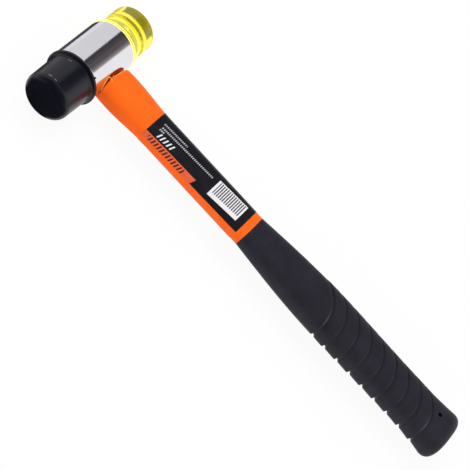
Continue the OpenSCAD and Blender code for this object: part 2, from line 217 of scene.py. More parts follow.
def new_finish(name):
    """A material, its tree and its shader."""
    material = bpy.data.materials.new(name)
    material.use_nodes = True
    return material, material.node_tree, material.node_tree.nodes["Principled BSDF"]


def new_group(name, inputs, outputs):
    """A shader node group with number sockets, and its two end nodes."""
    group = bpy.data.node_groups.new(name, "ShaderNodeTree")
    for label, value in inputs.items():
        socket = group.interface.new_socket(label, in_out="INPUT", socket_type="NodeSocketFloat")
        socket.default_value = value
    for label in outputs:
        group.interface.new_socket(label, in_out="OUTPUT", socket_type="NodeSocketFloat")
    print(name, "gives", ", ".join(outputs))
    return group, group.nodes.new("NodeGroupInput"), group.nodes.new("NodeGroupOutput")


def use(tree, group, **inputs):
    """Places a group in a tree."""
    return put(tree, "ShaderNodeGroup", {"node_tree": group}, **inputs).outputs


print("helpers for nodes, in Blender", bpy.app.version_string)


# %% Sums, colours and textures
NOISE_RANGE = (0.3, 0.7)
ON_A_LINE = {"noise_dimensions": "1D"}


def maths(tree, operation, *values):
    """The result of one math node."""
    return first_output(tree, "ShaderNodeMath", {"operation": operation}, *values)


def vectors(tree, operation, *values):
    """The result of one vector math node."""
    return first_output(tree, "ShaderNodeVectorMath", {"operation": operation}, *values)


def axes(tree, vector):
    """The X, Y and Z of a vector."""
    return put(tree, "ShaderNodeSeparateXYZ", Vector=vector).outputs


def blend_shaders(tree, share, first, second):
    """The first shader where share is 0, the second where it is 1."""
    return first_output(tree, "ShaderNodeMixShader", None, share, first, second)


def blend_colours(tree, share, first, second):
    """The first colour where share is 0, the second where it is 1."""
    made = put(tree, "ShaderNodeMix", {"data_type": "RGBA"})
    for index, value in ((0, share), (6, first), (7, second)):
        feed(tree, made.inputs[index], value)
    return made.outputs[2]


def spread(tree, value, low, high, to_low=0.0, to_high=1.0):
    """Maps the range from low to high onto another range, and stops at its ends."""
    made = put(tree, "ShaderNodeMapRange", Value=value, From_Min=low, From_Max=high,
               To_Min=to_low, To_Max=to_high)
    return made.outputs["Result"]


def graded(tree, value, stops):
    """A colour that changes with a value, through stops of value and colour."""
    colour = stops[0][1]
    for (low, _), (high, tone) in zip(stops, stops[1:]):
        colour = blend_colours(tree, spread(tree, value, low, high), colour, tone)
    return colour


def noise(tree, detail, options=None, **inputs):
    """The value of a noise texture."""
    return put(tree, "ShaderNodeTexNoise", options, Detail=detail, **inputs).outputs["Fac"]


def rougher(tree, mask, base, more):
    """A roughness that grows from base by more where a mask goes from 0 to 1."""
    return maths(tree, "MULTIPLY_ADD", mask, more, base)


def millimetres(tree, stretch=(1, 1, 1)):
    """The place on a piece in millimetres, shrunk along each axis by stretch."""
    here = put(tree, "ShaderNodeTexCoord").outputs["Object"]
    return vectors(tree, "MULTIPLY", here, tuple(s / MM for s in stretch))


def bump(tree, height, depth_mm):
    """A normal for a height from 0 to 1 that stands for depth_mm."""
    return put(tree, "ShaderNodeBump", Height=height, Distance=depth_mm * MM, Strength=1.0).outputs["Normal"]


print("textures are measured in units of", MM, "m")

# %% [markdown]
# ## Effects that several finishes share
# Moulded plastic and rubber copy the fine grain of their mould, and their colour is never quite even.
# Handled things carry faint smudges and a few hair-fine scratches, and turned steel keeps the rings of
# the tool. Each of these is a node group with named inputs, so that every finish can set its own scale.

# %% Moulded skin
moulded_skin, entry, leave = new_group(
    "moulded_skin", {"Grain size": 0.5, "Cloud size": 20.0}, ["Grain", "Cloud"])


def scale_for(group, entry, label):
    """The scale of a texture, from the size that an input of a group gives."""
    return maths(group, "DIVIDE", 1.0, entry.outputs[label + " size"])


place = millimetres(moulded_skin)
for label, detail, roughness in (("Grain", 3.0, 0.6), ("Cloud", 4.0, 0.55)):
    fleck = noise(moulded_skin, detail, Vector=place, Roughness=roughness,
                  Scale=scale_for(moulded_skin, entry, label))
    feed(moulded_skin, leave.inputs[label], spread(moulded_skin, fleck, *NOISE_RANGE))


# %% Handling marks
WARP_MM = 9.0
WARP_SCALE = 0.08
handling_marks, entry, leave = new_group(
    "handling_marks", {"Smudge size": 12.0, "Scratch size": 3.0}, ["Smudge", "Scratch"])
place = millimetres(handling_marks)
smudge = noise(handling_marks, detail=5.0, Vector=place, Roughness=0.62, Distortion=0.6,
               Scale=scale_for(handling_marks, entry, "Smudge"))
warp = put(handling_marks, "ShaderNodeTexNoise", Vector=place, Scale=WARP_SCALE, Detail=1.0)
shifted = vectors(handling_marks, "MULTIPLY_ADD", warp.outputs["Color"], (WARP_MM, WARP_MM, WARP_MM), place)
cells = put(handling_marks, "ShaderNodeTexVoronoi", {"feature": "DISTANCE_TO_EDGE"}, Vector=shifted,
            Scale=scale_for(handling_marks, entry, "Scratch"))
fill(handling_marks, leave, Smudge=spread(handling_marks, smudge, 0.42, 0.68),
     Scratch=spread(handling_marks, cells.outputs["Distance"], 0.004, 0.012, 1.0, 0.0))


# %% Turned rings
turned_rings, entry, leave = new_group("turned_rings", {"Ring pitch": 0.2}, ["Rings"])
along = axes(turned_rings, millimetres(turned_rings))["X"]
turns = maths(turned_rings, "DIVIDE", along, entry.outputs["Ring pitch"])
fill(turned_rings, leave, Rings=noise(turned_rings, detail=2.0, options=ON_A_LINE, W=turns, Scale=1.0))

# %% [markdown]
# ## Chrome for the barrel
# The barrel is a steel tube that was polished and plated. Bright chrome has hardly any colour of its own:
# it shows the studio, in bands that follow the barrel's length. So the finish stays smooth and metallic,
# with faint polishing lines along the barrel and smudges that only touch the roughness.

# %% Chrome
CHROME_DULL = (0.75, 0.74, 0.775, 1)
CHROME_BRIGHT = (0.84, 0.835, 0.865, 1)
POLISH_LINES = (0.04, 2.2, 2.2)


def chrome_finish():
    material, tree, shader = new_finish("chrome")
    marks = use(tree, handling_marks, Smudge_size=9.0, Scratch_size=14.0)
    lines = noise(tree, detail=4.0, Vector=millimetres(tree, POLISH_LINES), Scale=1.0)
    rough = rougher(tree, marks["Smudge"], base=0.05, more=0.05)
    rough = rougher(tree, marks["Scratch"], base=rough, more=0.12)
    fill(tree, shader, Base_Color=blend_colours(tree, lines, CHROME_DULL, CHROME_BRIGHT),
         Metallic=1.0, Roughness=rough, Normal=bump(tree, lines, depth_mm=0.004))
    return material


CHROME = chrome_finish()
print("made", CHROME.name)

# %% [markdown]
# ## Plain steel, resin and fibreglass
# The studs, washers and plugs show when a face is screwed out. They are plain turned steel, a little oily
# and grey. The resin and the fibreglass core stay hidden in the handle, but a cut or an open view should
# still look right.

# %% Steel
STEEL_CLEAN = (0.50, 0.50, 0.52, 1)
STEEL_OILY = (0.36, 0.35, 0.35, 1)


def steel_finish():
    material, tree, shader = new_finish("turned_steel")
    marks = use(tree, handling_marks, Smudge_size=5.0, Scratch_size=4.0)
    rings_height = use(tree, turned_rings, Ring_pitch=0.16)["Rings"]
    fill(tree, shader, Base_Color=blend_colours(tree, marks["Smudge"], STEEL_CLEAN, STEEL_OILY),
         Metallic=1.0, Roughness=rougher(tree, rings_height, base=0.2, more=0.22),
         Normal=bump(tree, rings_height, depth_mm=0.02))
    return material


STEEL = steel_finish()
print("made", STEEL.name)

# %% Resin and fibreglass
RESIN_DEEP = (0.50, 0.40, 0.16, 1)
RESIN_PALE = (0.62, 0.53, 0.26, 1)
FIBRE_DEEP = (0.52, 0.44, 0.22, 1)
FIBRE_PALE = (0.80, 0.74, 0.50, 1)
FIBRE_LINES = (3.0, 0.03, 3.0)


def resin_finish():
    material, tree, shader = new_finish("cast_resin")
    skin_marks = use(tree, moulded_skin, Grain_size=0.4, Cloud_size=5.0)
    fill(tree, shader, Base_Color=blend_colours(tree, skin_marks["Cloud"], RESIN_DEEP, RESIN_PALE),
         Roughness=rougher(tree, skin_marks["Grain"], base=0.25, more=0.15),
         Normal=bump(tree, skin_marks["Grain"], depth_mm=0.03))
    return material


def fibreglass_finish():
    material, tree, shader = new_finish("pultruded_fibreglass")
    strands = noise(tree, detail=4.0, Vector=millimetres(tree, FIBRE_LINES), Scale=1.0)
    fill(tree, shader, Base_Color=blend_colours(tree, strands, FIBRE_DEEP, FIBRE_PALE),
         Roughness=spread(tree, strands, *NOISE_RANGE, 0.35, 0.55), Normal=bump(tree, strands, depth_mm=0.04))
    return material


RESIN = resin_finish()
FIBREGLASS = fibreglass_finish()
print("made", RESIN.name, "and", FIBREGLASS.name)

# %% [markdown]
# ## Orange plastic for the jacket
# The jacket is moulded over the core in a bright orange plastic with a satin skin. Its colour is strong
# and nearly even, with slow clouds from the flow in the mould and a very fine grain.


# %% Orange plastic
def orange_finish(name, pale, deep, grain_depth):
    """An orange plastic with its two tones and the depth of its grain in millimetres."""
    material, tree, shader = new_finish(name)
    skin_marks = use(tree, moulded_skin, Grain_size=0.35, Cloud_size=16.0)
    marks = use(tree, handling_marks, Smudge_size=7.0, Scratch_size=18.0)
    fill(tree, shader, Base_Color=blend_colours(tree, skin_marks["Cloud"], deep, pale),
         Roughness=rougher(tree, marks["Smudge"], base=0.44, more=0.10),
         Normal=bump(tree, skin_marks["Grain"], grain_depth), Specular_IOR_Level=0.12)
    return material


ORANGE = orange_finish("orange_plastic", (1.0, 0.140, 0.006, 1), (0.98, 0.125, 0.005, 1), grain_depth=0.012)
# The flash's paler orange is a painted highlight
FLASH_PAINTED_HIGHLIGHT = orange_finish("flash_plastic_painted_highlight", (1.0, 0.46, 0.10, 1), (1.0, 0.36, 0.06, 1), grain_depth=0.01)
print("made", ORANGE.name, "and", FLASH_PAINTED_HIGHLIGHT.name)

# %% [markdown]
# ## Two black rubbers
# The grip is a soft rubber with a matte, slightly bluish skin. A painted highlight makes a thin pale line on
# the edges of its ribs, and painted shade darkens its grooves. The striking face is a harder rubber, denser
# black and smoother, so it shows soft reflections on its curves. Two numbers on each point of the mesh say
# where the painted highlight and the painted shade go. A mesh without them counts as 0.

# %% Grip rubber and face rubber
# Painted highlight for the rib edges and painted shade for the grooves
PAINTED_EDGE_HIGHLIGHT = (0.075, 0.073, 0.085, 1)
PAINTED_SHADE_TONE = (0.003, 0.003, 0.005, 1)
SHEEN_ROUGHNESS = 0.3


def rubber_finish(name, dark, pale, roughness, grain, gloss, dusty=0.0):
    """A rubber with its two tones, range of roughness, size and depth of grain, gloss and rim of dust."""
    material, tree, shader = new_finish(name)
    grain_size, grain_depth = grain
    skin_marks = use(tree, moulded_skin, Grain_size=grain_size, Cloud_size=11.0)
    marks = use(tree, handling_marks, Smudge_size=6.0, Scratch_size=9.0)
    tone = blend_colours(tree, skin_marks["Cloud"], dark, pale)
    # Painted shade in the grooves, then a painted highlight on the rib edges
    for number, colour in (("painted_groove_shade", PAINTED_SHADE_TONE), ("painted_rib_highlight", PAINTED_EDGE_HIGHLIGHT)):
        share = put(tree, "ShaderNodeAttribute", {"attribute_name": number}).outputs["Fac"]
        tone = blend_colours(tree, share, tone, colour)
    fill(tree, shader, Base_Color=tone, Roughness=spread(tree, marks["Smudge"], 0.0, 1.0, *roughness),
         Normal=bump(tree, skin_marks["Grain"], grain_depth), Specular_IOR_Level=gloss,
         Sheen_Weight=dusty, Sheen_Roughness=SHEEN_ROUGHNESS)
    return material


GRIP_RUBBER = rubber_finish(
    "grip_rubber", (0.0150, 0.0143, 0.0215, 1), (0.0215, 0.0206, 0.0295, 1),
    roughness=(0.50, 0.60), grain=(0.30, 0.02), gloss=0.14, dusty=0.05)
FACE_RUBBER = rubber_finish(
    "face_rubber", (0.003, 0.003, 0.0085, 1), (0.006, 0.006, 0.0125, 1),
    roughness=(0.28, 0.36), grain=(0.25, 0.006), gloss=0.36)
# Pale rubber for the painted glints on the face
PAINTED_GLINT = rubber_finish(
    "painted_glint_rubber", (0.16, 0.16, 0.18, 1), (0.24, 0.24, 0.26, 1),
    roughness=(0.50, 0.60), grain=(0.25, 0.02), gloss=0.2)
print("made", GRIP_RUBBER.name + ",", FACE_RUBBER.name, "and", PAINTED_GLINT.name)

# %% [markdown]
# ## Clear yellow plastic
# The second face is a tough, clear plastic dyed lemon yellow. Its volume absorbs blue with depth, so thin
# parts stay pale and thick parts go deeper. It also carries painted light: an emission that makes the flange
# by the barrel much paler than the rest, the waist a little paler and the head barely.

# %% Yellow plastic
LEMON = (1.0, 0.94, 0.36, 1)
PALE_LEMON = (1.0, 0.96, 0.46, 1)
DYE = (0.99, 0.95, 0.03, 1)
DYE_DENSITY = 55.0
RIM_PAINTED_LIGHT = (0.55, 0.54, 0.17, 1)
WAIST_PAINTED_LIGHT = (0.26, 0.24, 0.006, 1)
HEAD_PAINTED_LIGHT = (0.045, 0.042, 0.002, 1)
# The painted light, an emission, at heights above the seat, in millimetres
PAINTED_LIGHT_BY_HEIGHT = ((2.2, RIM_PAINTED_LIGHT), (4.0, WAIST_PAINTED_LIGHT), (9.0, WAIST_PAINTED_LIGHT), (12.5, HEAD_PAINTED_LIGHT))
plastic_low, plastic_high = box_mm("plastic_face")


def yellow_finish():
    material, tree, shader = new_finish("clear_yellow_plastic")
    skin_marks = use(tree, moulded_skin, Grain_size=1.2, Cloud_size=9.0)
    marks = use(tree, handling_marks, Smudge_size=8.0, Scratch_size=12.0)
    height = maths(tree, "SUBTRACT", axes(tree, millimetres(tree))["X"], plastic_low[0])
    # The emission is painted light that makes the flange and the waist paler
    fill(tree, shader, Base_Color=blend_colours(tree, skin_marks["Cloud"], LEMON, PALE_LEMON),
         Roughness=rougher(tree, marks["Smudge"], base=0.03, more=0.03),
         Normal=bump(tree, skin_marks["Grain"], depth_mm=0.006), Transmission_Weight=1.0, IOR=1.46,
         Emission_Color=graded(tree, height, PAINTED_LIGHT_BY_HEIGHT), Emission_Strength=1.0)
    depth = put(tree, "ShaderNodeVolumeAbsorption", Color=DYE, Density=DYE_DENSITY)
    fill(tree, tree.nodes["Material Output"], Volume=depth.outputs["Volume"])
    return material


YELLOW = yellow_finish()
print("made", YELLOW.name)

# %% [markdown]
# ## Finishes for the solids that stay
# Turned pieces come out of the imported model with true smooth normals, so they stay as they are. Each one
# only gets its finish in place of the plain colour that it was packed with.

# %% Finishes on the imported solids
kept_finishes = {
    "head_barrel": CHROME,
    "rubber_face": FACE_RUBBER,
    "rubber_face_stud": STEEL,
    "rubber_face_washer": STEEL,
    "plastic_face_stud": STEEL,
    "plastic_face_washer": STEEL,
    "rubber_side_plug": STEEL,
    "plastic_side_plug": STEEL,
    "epoxy_potting": RESIN,
    "handle_core": FIBREGLASS,
}
for node, finish in kept_finishes.items():
    paint(frame["nodes"][node], finish)
print("finished", len(kept_finishes), "solids")

# %% [markdown]
# ## The outline of the handle
# Across, the handle is a squarish oval. Down its length that oval swells and thins: saddle, shoulder,
# slim neck, swell, palm and flared butt. A formula between those few sizes gives a smooth skin at any
# fineness.

# %% Sizes of the handle
SECTION_POWER = 2.5
SADDLE = np.array([24.0, 19.0]) / 2
SHOULDER = np.array([26.4, 19.0]) / 2
NECK = np.array([22.5, 17.0]) / 2
SWELL = np.array([30.8, 23.0]) / 2
PALM = np.array([29.2, 22.6]) / 2
BUTT = np.array([35.4, 25.0]) / 2
SHOULDER_AT = BARREL_R + 9.0
NECK_AT = BARREL_R + 41.0
JACKET_START = SHOULDER_AT / 3
SWELL_AT = BUTT_AT - 102.0
FLARE_LEN = 33.5
FLARE_AT = BUTT_AT - FLARE_LEN
PALM_AT = FLARE_AT - 12.0
BUTT_ROUND = 7.0
ROUND_AT = BUTT_AT - BUTT_ROUND


def ease(t):
    """A soft step from 0 to 1."""
    t = np.clip(t, 0.0, 1.0)
    return t * t * (3 - 2 * t)


def rise(t):
    """A step that starts steep and ends level."""
    return np.sin(math.pi / 2 * np.clip(t, 0.0, 1.0))


def mix(first, second, share):
    """Between two sizes, for an array of shares."""
    return first + (second - first) * np.asarray(share)[..., None]


def signed_power(value, power):
    return np.sign(value) * np.abs(value) ** power


def oval(half, angle):
    """Points x, z of the squarish oval with these half sizes. Angle 0 is the back, 180 degrees the front."""
    power = 2 / SECTION_POWER
    x = half[..., 0] * signed_power(np.cos(angle), power)
    z = half[..., 1] * signed_power(np.sin(angle), power)
    return x, z


def oval_normal(half, angle):
    """Outward x, z of the oval."""
    power = 2 - 2 / SECTION_POWER
    x = signed_power(np.cos(angle), power) / half[..., 0]
    z = signed_power(np.sin(angle), power) / half[..., 1]
    size = np.hypot(x, z)
    return x / size, z / size


def jacket_half(s):
    """Half sizes of the jacket at distances s."""
    upper = mix(SADDLE, SHOULDER, rise((s - JACKET_START) / (SHOULDER_AT - JACKET_START)))
    lower = mix(SHOULDER, NECK, ease((s - SHOULDER_AT) / (NECK_AT - SHOULDER_AT)))
    return np.where((s < SHOULDER_AT)[..., None], upper, lower)


print("neck", 2 * NECK, "swell", 2 * SWELL, "butt", 2 * BUTT)

# %% [markdown]
# ## The jacket
# The jacket ends in a saddle under the barrel. The saddle's curve is flatter than the barrel, so it
# touches along its middle and leaves a narrow, dark gap at the cheeks, a little wider towards the back.
# Each column of the mesh starts on that curve and runs to the mouth of the grip. A small rounding at the
# saddle's edge catches the light, and the tail goes on inside the grip.

# %% Jacket
AROUND = 192
SEAT_R = BARREL_R + 0.05
RIM_AT = SEAT_R - 1.0
SADDLE_R = 39.0
SADDLE_TILT = 0.09
SADDLE_TILT_FROM = -5.0
SADDLE_ROUND = 0.4
SADDLE_ROWS = 12
JACKET_ROWS = 96
JACKET_CROWDING = 1.6
TAIL_LIP = 1.3
TAIL_END = BUTT_AT - 24.0
# Rings of the tail: the distance down the handle and the share of the full size
JACKET_TAIL = ((GRIP_AT, 1.0), (TAIL_END - 2, 1.0), (TAIL_END, 0.8), (TAIL_END, 0.0))
around = full_turn(AROUND)


def saddle_start(x, z):
    """Distance down the handle at which the jacket starts, at x and z across it."""
    flat = SEAT_R - SADDLE_R + np.sqrt(SADDLE_R ** 2 - z ** 2)
    return flat + SADDLE_TILT * np.maximum(0.0, x - SADDLE_TILT_FROM)


def tail_rings(places):
    """Rings of the slim tail, from pairs of a distance and a share of the full size."""
    tail = np.broadcast_to(NECK - TAIL_LIP, (AROUND, 2))
    return [on_handle(*oval(tail * share, around), s) for s, share in places]


def jacket_rings():
    """Rings from the middle of the saddle to its rim, down the jacket and along the tail."""
    x, z = oval(jacket_half(np.full(AROUND, RIM_AT)), around)
    start = saddle_start(x, z)
    rows = []
    for share in np.linspace(0.0, 1.0 - SADDLE_ROUND / SADDLE[1], SADDLE_ROWS):
        rows.append(on_handle(x * share, z * share, saddle_start(x * share, z * share)))
    for step in np.linspace(0.0, 1.0, JACKET_ROWS) ** JACKET_CROWDING:
        s = start + (GRIP_AT - start) * step
        inset = SADDLE_ROUND * (1 - rise((s - start) / SADDLE_ROUND))
        rows.append(on_handle(*oval(jacket_half(s) - inset[..., None], around), s))
    return rows + tail_rings(JACKET_TAIL)


jacket = weld(skin("jacket", jacket_rings()))
settle(jacket, ORANGE, "hammer", "orange_plastic", "handle_jacket")
print("jacket faces:", len(jacket.data.polygons))

# %% [markdown]
# ## Flash from the mould
# A cheap moulding keeps thin threads of plastic where the halves of its mould met. One lies along the
# saddle's edge, and one starts at the front, follows the barrel and curls back over the cheek. Their paler
# orange is a painted highlight, for the light that the thin threads catch. A thread is a thin tube through
# a few points, so a smooth curve through them and a ring at each step make it.

# %% Flash
STRAND_STEPS = 8
STRAND_SIDES = 10
EDGE_FLASH_R = 0.2
CURL_R = 0.3
# A direction that no thread follows, from which the points of each ring are placed
ODD_WAY = (0.36, 0.48, 0.8)
# Places x, z, s of the curl: up the front beside the barrel, then back over the cheek
CURL = [
    (-12.4, 2.1, 17.05), (-12.1, 4.0, 16.75), (-11.4, 6.1, 16.1), (-9.9, 7.8, 15.4), (-8.1, 9.0, 14.8),
    (-6.9, 9.8, 14.5), (-6.3, 9.8, 15.3), (-6.2, 9.3, 16.3), (-6.4, 9.0, 17.3), (-6.95, 8.7, 18.0),
]


def smooth_path(points):
    """More points on a curve that runs through all the given ones."""
    points = np.asarray(points, dtype=float)
    padded = np.concatenate([[2 * points[0] - points[1]], points, [2 * points[-1] - points[-2]]])
    t = np.linspace(0.0, 1.0, STRAND_STEPS, endpoint=False)[:, None]
    path = []
    for a, b, c, d in zip(padded, padded[1:], padded[2:], padded[3:]):
        path.extend(b + 0.5 * t * (c - a + t * (2 * a - 5 * b + 4 * c - d + t * (3 * (b - c) + d - a))))
    path.append(points[-1])
    return np.array(path)


def strand(name, points, radius):
    """A thin tube through points that thins out at both ends."""
    path = smooth_path(points)
    ahead = np.gradient(path, axis=0)
    ahead /= np.linalg.norm(ahead, axis=1)[:, None]
    side = np.cross(ahead, ODD_WAY)
    side /= np.linalg.norm(side, axis=1)[:, None]
    up = np.cross(side, ahead)
    turn = full_turn(STRAND_SIDES)
    radii = radius * np.sin(math.pi * np.linspace(0.0, 1.0, len(path))) ** 0.5
    rows = [p + r * (np.cos(turn)[:, None] * s + np.sin(turn)[:, None] * u)
            for p, r, s, u in zip(path, radii, side, up)]
    return weld(skin(name, rows))


# The stretch of the saddle's edge that has flash, as angles round the handle
edge_angles = np.radians(np.linspace(48, 110, 9))
edge_x, edge_z = oval(jacket_half(np.full(edge_angles.shape, SEAT_R)), edge_angles)
sunk = SADDLE_ROUND / 3
edge_line = on_handle(edge_x, edge_z - sunk, saddle_start(edge_x, edge_z) + sunk)
curl_line = on_handle(*np.array(CURL).T)
for name, line, radius in (("edge_flash", edge_line, EDGE_FLASH_R), ("curl_flash", curl_line, CURL_R)):
    settle(strand(name, line, radius), FLASH_PAINTED_HIGHLIGHT, "hammer", "orange_plastic")


# %% [markdown]
# ## The grip
# The grip's ribs run in arcs across each cheek and cut notches into the front edge. A ring of the mesh is
# named by its place on the front edge and climbs along the groove's arc towards the back, so a groove is
# simply a ring that lies a little deeper. The skin is fine enough to carry each groove as a steep wall, a
# floor and a soft rise. Each rib also leans out towards its lower end, like the teeth of a saw, and the
# grooves fade quickly from the front edge to the cheeks.

# %% Grip sizes
GROOVE_COUNT = 9
GROOVE_LAST = BUTT_AT - 15.5
GROOVE_STRETCH = 86.0
GROOVE_AT = GROOVE_LAST - GROOVE_STRETCH
GROOVE_PITCH = GROOVE_STRETCH / (GROOVE_COUNT - 1)
GROOVE_W = 3.2
GROOVE_FRONT = 1.6
GROOVE_BACK = 0.14
GROOVE_RADIUS = 23.0
GROOVE_APEX = 1.5
GROOVE_FADE = 2.8
# The groove's profile in shares of its width: its wall, then its rise to the next rib
WALL_AT = 0.5
WALL_W = 0.3
RISE_AT = 0.1
RISE_W = 0.4
CUT_ABOVE = 0.25
CUT_FROM = math.radians(165)
CUT_TO = math.radians(214)
FIRST_LATE = 1.4
RIB_STEP = 1.0
RIB_PROUD = 0.3
RIB_DROP = 0.3
RIB_FADE = 1.5
RIB_LEAN = 0.75
BUTT_LEAN = 0.4
print(f"{GROOVE_COUNT} grooves, one every {GROOVE_PITCH:.2f} mm")


# %% Grip shape
def grip_half(s):
    """Half sizes of the grip, without its grooves."""
    neck = mix(NECK, SWELL, rise((s - GRIP_AT) / (SWELL_AT - GRIP_AT)))
    waist = mix(SWELL, PALM, ease((s - SWELL_AT) / (PALM_AT - SWELL_AT)))
    flare = mix(PALM, BUTT, np.clip((s - FLARE_AT) / FLARE_LEN, 0.0, 1.0) ** 2)
    return np.where((s < SWELL_AT)[..., None], neck, np.where((s < PALM_AT)[..., None], waist, flare))


def round_inset(s):
    """How far the butt's rounding draws the outline in."""
    deep = np.clip(s - ROUND_AT, 0.0, BUTT_ROUND)
    return BUTT_ROUND - np.sqrt(BUTT_ROUND ** 2 - deep ** 2)


def frontness(power):
    """1 on the front edge and 0 on the back edge, round a ring."""
    return ((1 - np.cos(around)) / 2) ** power


def cut_share():
    """Share of the full groove depth: the notches lie a little below the front edge."""
    below = ease((around - CUT_FROM) / (CUT_TO - CUT_FROM))
    return frontness(GROOVE_FADE) * (CUT_ABOVE + (1 - CUT_ABOVE) * below)


def nearest_groove(front):
    return np.clip(np.round((front - GROOVE_AT) / GROOVE_PITCH), 0, GROOVE_COUNT - 1)


def past_groove(front):
    """Distance from the middle of the nearest groove. The first groove comes late on the front edge."""
    nearest = nearest_groove(front)
    late = np.where(nearest == 0, FIRST_LATE * frontness(GROOVE_FADE), 0.0)
    return front - GROOVE_AT - nearest * GROOVE_PITCH - late


def groove_share(front):
    """Share of the groove depth at places on the front edge."""
    t = past_groove(front) / GROOVE_W
    return ease((t + WALL_AT) / WALL_W) * (1 - ease((t - RISE_AT) / RISE_W))


def rib_share(front):
    """Share of the step from the smooth neck to the ribs."""
    return ease((front - GROOVE_AT + GROOVE_W / 4) / RIB_STEP) * (
        1 - np.clip((front - GROOVE_LAST - GROOVE_W / 2) / (ROUND_AT - GROOVE_LAST - GROOVE_W / 2), 0.0, 1.0))


def lean_share(front):
    """How far along its rib a place lies, from 0 below one groove's wall to 1 above the next one's."""
    walls = (front - GROOVE_AT) / GROOVE_PITCH + (WALL_AT - WALL_W / 2) * GROOVE_W / GROOVE_PITCH
    return np.where((walls > 0) & (walls < GROOVE_COUNT - 1), walls - np.floor(walls), 0.0)


def arc_share(front):
    """Share of the arc that a ring follows: none at the mouth and the butt, all between the grooves."""
    before = ease((front - GRIP_AT) / (GROOVE_AT - GROOVE_W - GRIP_AT))
    after = 1 - ease((front - GROOVE_LAST - GROOVE_W) / (ROUND_AT - GROOVE_LAST - GROOVE_W))
    return np.where(front < GROOVE_AT, before, after)


def grip_ring(front):
    """One ring of the grip's skin, named by its place on the front edge."""
    fronts = np.full(AROUND, front)
    reach = grip_half(fronts)
    x_guess = oval(reach, around)[0]
    climb = np.maximum(0.0, x_guess - (GROOVE_APEX - reach[..., 0])) ** 2 / (2 * GROOVE_RADIUS)
    s = fronts - arc_share(fronts) * climb
    x, z = oval(grip_half(s) - round_inset(s)[..., None], around)
    groove = groove_share(fronts) * (GROOVE_BACK + (GROOVE_FRONT - GROOVE_BACK) * cut_share())
    rib = rib_share(fronts) * (RIB_PROUD - (RIB_PROUD + RIB_DROP) * frontness(RIB_FADE))
    rib = rib + lean_share(fronts) * RIB_LEAN * cut_share()
    scale = 1 + (rib - groove) / np.maximum(np.hypot(x, z), 1.0)
    lean = BUTT_LEAN * np.clip((s - FLARE_AT) / FLARE_LEN, 0.0, 1.0) ** 2
    return on_handle(x * scale - lean, z * scale, s)


print("a ring of the grip has", len(grip_ring(GROOVE_AT)), "points")

# %% [markdown]
# ## Painted highlights and shade on the ribs
# A painted highlight makes a thin pale line on the upper edge of each groove, where the cheek turns to the
# front. The first and the last groove show it most. Each ring gets a number for that, and another one for
# the painted shade in the grooves. The rubber's finish reads both.

# %% Rib edges
EDGE_W = 0.35
EDGE_TURN = math.radians(130)
EDGE_SPREAD = math.radians(24)
EDGE_STRONG = 0.9
EDGE_WEAK = 0.22
GROOVE_SHADE = 0.75
GROOVE_SHADE_FADE = 1.3


def painted_rib_highlight(front):
    """How much painted highlight the points of a ring get."""
    fronts = np.full(AROUND, front)
    nearest = nearest_groove(fronts)
    strength = np.where((nearest == 0) | (nearest == GROOVE_COUNT - 1), EDGE_STRONG, EDGE_WEAK)
    line = np.exp(-((past_groove(fronts) + GROOVE_W / 2) / EDGE_W) ** 2)
    from_back = np.abs((around + math.pi) % (2 * math.pi) - math.pi)
    return strength * line * np.exp(-((from_back - EDGE_TURN) / EDGE_SPREAD) ** 2)


def painted_groove_shade(front):
    """How much painted shade the points of a ring get: most on the cheeks and the back, least on the front
    edge.
    """
    return GROOVE_SHADE * groove_share(np.full(AROUND, front)) * (1 - frontness(GROOVE_SHADE_FADE))


print(f"edge lines are about {2 * EDGE_W:.1f} mm wide")

# %% [markdown]
# ## Building the grip
# The grip's rings start at the bottom of the pocket that holds the tail, come up to the mouth and go down
# the outside to the butt. They lie close together at the grooves and further apart on the smooth neck.
# The hang hole in the flared butt does not follow the rings, so a boolean cuts it.

# %% Grip
NECK_STEP = 1.2
GROOVE_STEP = 0.2
ROUND_STEPS = 14
HOLE_R = 1.5
HOLE_SIDES = 48
HOLE_PAST = 2
# Rings of the pocket: the distance down the handle and the share of the full size
GRIP_TAIL = ((TAIL_END, 0.0), (TAIL_END, 0.9), (TAIL_END - 1, 1.0), (GRIP_AT, 1.0))
END_SHARES = (0.75, 0.4, 0.0)
groove_from = GROOVE_AT - GROOVE_W
groove_to = GROOVE_LAST + GROOVE_W
grip_fronts = np.concatenate([
    np.arange(GRIP_AT, groove_from, NECK_STEP),
    np.arange(groove_from, groove_to, GROOVE_STEP),
    np.arange(groove_to, ROUND_AT, GROOVE_STEP * 2),
    ROUND_AT + BUTT_ROUND * np.sin(np.linspace(0.0, math.pi / 2, ROUND_STEPS)),
])
hole_x, hole_y, hole_z = np.array(frame["record"]["mounts"][0]["pos_m"]) / MM


def grip_rings():
    """Rings of the pocket, the outside and the flat end of the butt."""
    rows = tail_rings(GRIP_TAIL)
    rows.extend(grip_ring(front) for front in grip_fronts)
    end = rows[-1]
    middle = end.mean(axis=0)
    rows.extend(middle + (end - middle) * share for share in END_SHARES)
    return rows


def mark_ribs(piece):
    """Writes the numbers of each point for the painted highlight on the edges and the painted shade in the
    grooves.
    """
    plain = np.zeros(AROUND)
    for number in (painted_rib_highlight, painted_groove_shade):
        rows = [plain] * len(GRIP_TAIL) + [number(front) for front in grip_fronts] + [plain] * len(END_SHARES)
        marks = piece.data.attributes.new(number.__name__, "FLOAT", "POINT")
        marks.data.foreach_set("value", np.concatenate(rows))


